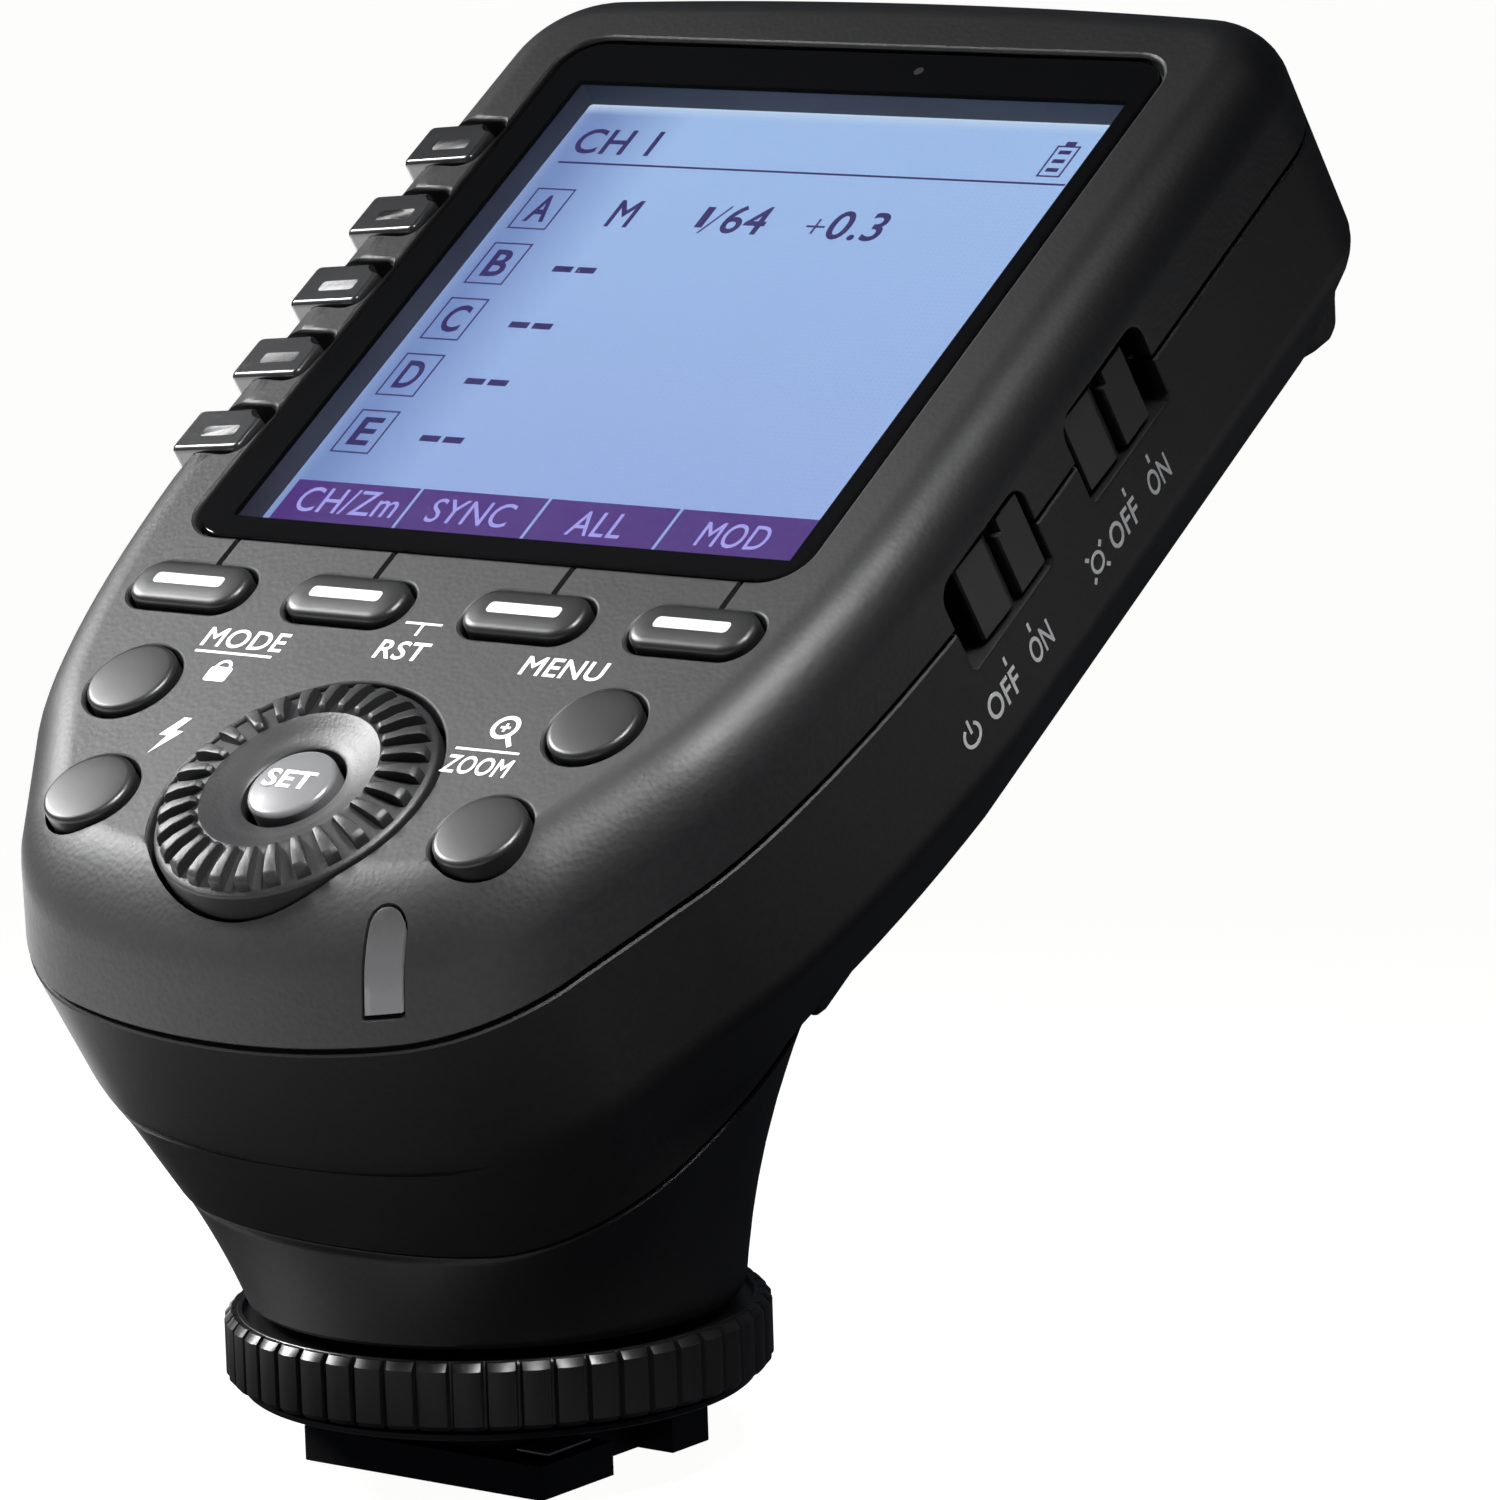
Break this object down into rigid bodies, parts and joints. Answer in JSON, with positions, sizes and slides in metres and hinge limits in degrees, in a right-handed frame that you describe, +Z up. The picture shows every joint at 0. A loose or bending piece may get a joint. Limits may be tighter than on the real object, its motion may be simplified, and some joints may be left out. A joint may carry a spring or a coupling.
{
  "type": "wireless flash trigger",
  "caption": "Slanted shoe-mount controller with a display, group keys, a select dial and slide switches, on a neck with a knurled lock ring.",
  "frame": {"origin": "centre of the shoe foot's sole", "axes": "+Z up out of the shoe, -Y towards the user and the dial end, +Y towards the lens side, +X towards the side with the slide switches"},
  "size_m": [0.06, 0.0826, 0.0842],
  "materials": {
    "shell": "fine leather grain, black",
    "keys": "satin black",
    "gloss_black": "polished black",
    "display_glass": "polished black window",
    "lcd": "lit blue display",
    "cream": "translucent white",
    "board": "solder-masked board",
    "rubber": "silicone mat",
    "smoke": "smoked light pipe",
    "steel": "stamped and machined steel",
    "brass": "gold-plated contacts",
    "cell": "printed sleeve",
    "set_grey": "polished grey",
    "lens_red": "dark red lamp window"
  },
  "bodies": {
    "housing": {"top_shell": "shell", "bottom_shell": "shell", "neck_base": "shell", "display_glass": "display_glass", "lcd_panel": "lcd", "backlight_guide": "cream", "main_board": "board", "button_mat": "rubber", "dial_encoder": "shell", "status_lamp": "smoke", "power_switch_body": "steel", "lamp_switch_body": "steel", "usb_port": "steel", "sync_jack": "brass", "battery_tray": "shell", "battery_1": "cell", "battery_2": "cell", "contact_plate_low": "steel", "contact_plate_high_1": "steel", "contact_plate_high_2": "steel", "radio_board": "board", "antenna_can": "steel", "case_screw_1": "steel", "case_screw_2": "steel", "case_screw_3": "steel", "case_screw_4": "steel", "assist_led": "cream", "assist_window": "lens_red", "shoe_foot": "shell", "contact_block": "brass", "ground_leaf": "steel", "foot_screw_1": "steel", "foot_screw_2": "steel", "door_hinge_bar": "shell", "door_hinge_pin": "steel"},
    "group_key_a": {"group_button_a": "gloss_black"},
    "group_key_b": {"group_button_b": "gloss_black"},
    "group_key_c": {"group_button_c": "gloss_black"},
    "group_key_d": {"group_button_d": "gloss_black"},
    "group_key_e": {"group_button_e": "gloss_black"},
    "function_key_1": {"function_button_1": "keys"},
    "function_key_2": {"function_button_2": "keys"},
    "function_key_3": {"function_button_3": "keys"},
    "function_key_4": {"function_button_4": "keys"},
    "mode_key": {"mode_button": "keys"},
    "menu_key": {"menu_button": "keys"},
    "test_key": {"test_button": "keys"},
    "zoom_key": {"zoom_button": "keys"},
    "set_key": {"set_button": "set_grey"},
    "dial": {"select_dial": "keys"},
    "power_slider": {"power_switch": "keys"},
    "lamp_slider": {"lamp_switch": "keys"},
    "door": {"battery_door": "shell"},
    "clamp": {"clamp_disc": "keys"},
    "ring": {"lock_ring": "gloss_black"}
  },
  "joints": [
    {"name": "group_key_a_press", "type": "slide", "parent": "housing", "child": "group_key_a", "axis": [0, 0.5505, -0.8348], "range_m": [0, 0.0005], "stiffness_N_per_m": 400},
    {"name": "group_key_b_press", "type": "slide", "parent": "housing", "child": "group_key_b", "axis": [0, 0.5505, -0.8348], "range_m": [0, 0.0005], "stiffness_N_per_m": 400},
    {"name": "group_key_c_press", "type": "slide", "parent": "housing", "child": "group_key_c", "axis": [0, 0.5505, -0.8348], "range_m": [0, 0.0005], "stiffness_N_per_m": 400},
    {"name": "group_key_d_press", "type": "slide", "parent": "housing", "child": "group_key_d", "axis": [0, 0.5505, -0.8348], "range_m": [0, 0.0005], "stiffness_N_per_m": 400},
    {"name": "group_key_e_press", "type": "slide", "parent": "housing", "child": "group_key_e", "axis": [0, 0.5505, -0.8348], "range_m": [0, 0.0005], "stiffness_N_per_m": 400},
    {"name": "function_key_1_press", "type": "slide", "parent": "housing", "child": "function_key_1", "axis": [0, 0.5505, -0.8348], "range_m": [0, 0.0005], "stiffness_N_per_m": 400},
    {"name": "function_key_2_press", "type": "slide", "parent": "housing", "child": "function_key_2", "axis": [0, 0.5505, -0.8348], "range_m": [0, 0.0005], "stiffness_N_per_m": 400},
    {"name": "function_key_3_press", "type": "slide", "parent": "housing", "child": "function_key_3", "axis": [0, 0.5505, -0.8348], "range_m": [0, 0.0005], "stiffness_N_per_m": 400},
    {"name": "function_key_4_press", "type": "slide", "parent": "housing", "child": "function_key_4", "axis": [0, 0.5505, -0.8348], "range_m": [0, 0.0005], "stiffness_N_per_m": 400},
    {"name": "mode_key_press", "type": "slide", "parent": "housing", "child": "mode_key", "axis": [0, 0.5505, -0.8348], "range_m": [0, 0.0005], "stiffness_N_per_m": 400},
    {"name": "menu_key_press", "type": "slide", "parent": "housing", "child": "menu_key", "axis": [0, 0.5505, -0.8348], "range_m": [0, 0.0005], "stiffness_N_per_m": 400},
    {"name": "test_key_press", "type": "slide", "parent": "housing", "child": "test_key", "axis": [0, 0.5505, -0.8348], "range_m": [0, 0.0005], "stiffness_N_per_m": 400},
    {"name": "zoom_key_press", "type": "slide", "parent": "housing", "child": "zoom_key", "axis": [0, 0.5505, -0.8348], "range_m": [0, 0.0005], "stiffness_N_per_m": 400},
    {"name": "set_key_press", "type": "slide", "parent": "housing", "child": "set_key", "axis": [0, 0.5505, -0.8348], "range_m": [0, 0.0005], "stiffness_N_per_m": 400},
    {"name": "dial_turn", "type": "hinge", "parent": "housing", "child": "dial", "pos_m": [0, -0.01738, 0.04437], "axis": [0, -0.5505, 0.8348], "continuous": true},
    {"name": "power_slide", "type": "slide", "parent": "housing", "child": "power_slider", "axis": [0, 0.8348, 0.5505], "range_m": [-0.0018, 0]},
    {"name": "lamp_slide", "type": "slide", "parent": "housing", "child": "lamp_slider", "axis": [0, 0.8348, 0.5505], "range_m": [0, 0.0015]},
    {"name": "door_hinge", "type": "hinge", "parent": "housing", "child": "door", "pos_m": [0, 0.01684, 0.03752], "axis": [-1, 0, 0], "range_deg": [0, 95]},
    {"name": "clamp_lower", "type": "slide", "parent": "housing", "child": "clamp", "axis": [0, 0, -1], "range_m": [0, 0.0008]},
    {"name": "ring_turn", "type": "hinge", "parent": "housing", "child": "ring", "pos_m": [0, 0, 0.0076], "axis": [0, 0, 1], "range_deg": [0, 360]}
  ],
  "couplings": [
    {"joint": "clamp_lower", "follows": "ring_turn", "m_per_rad": 0.00012732}
  ]
}
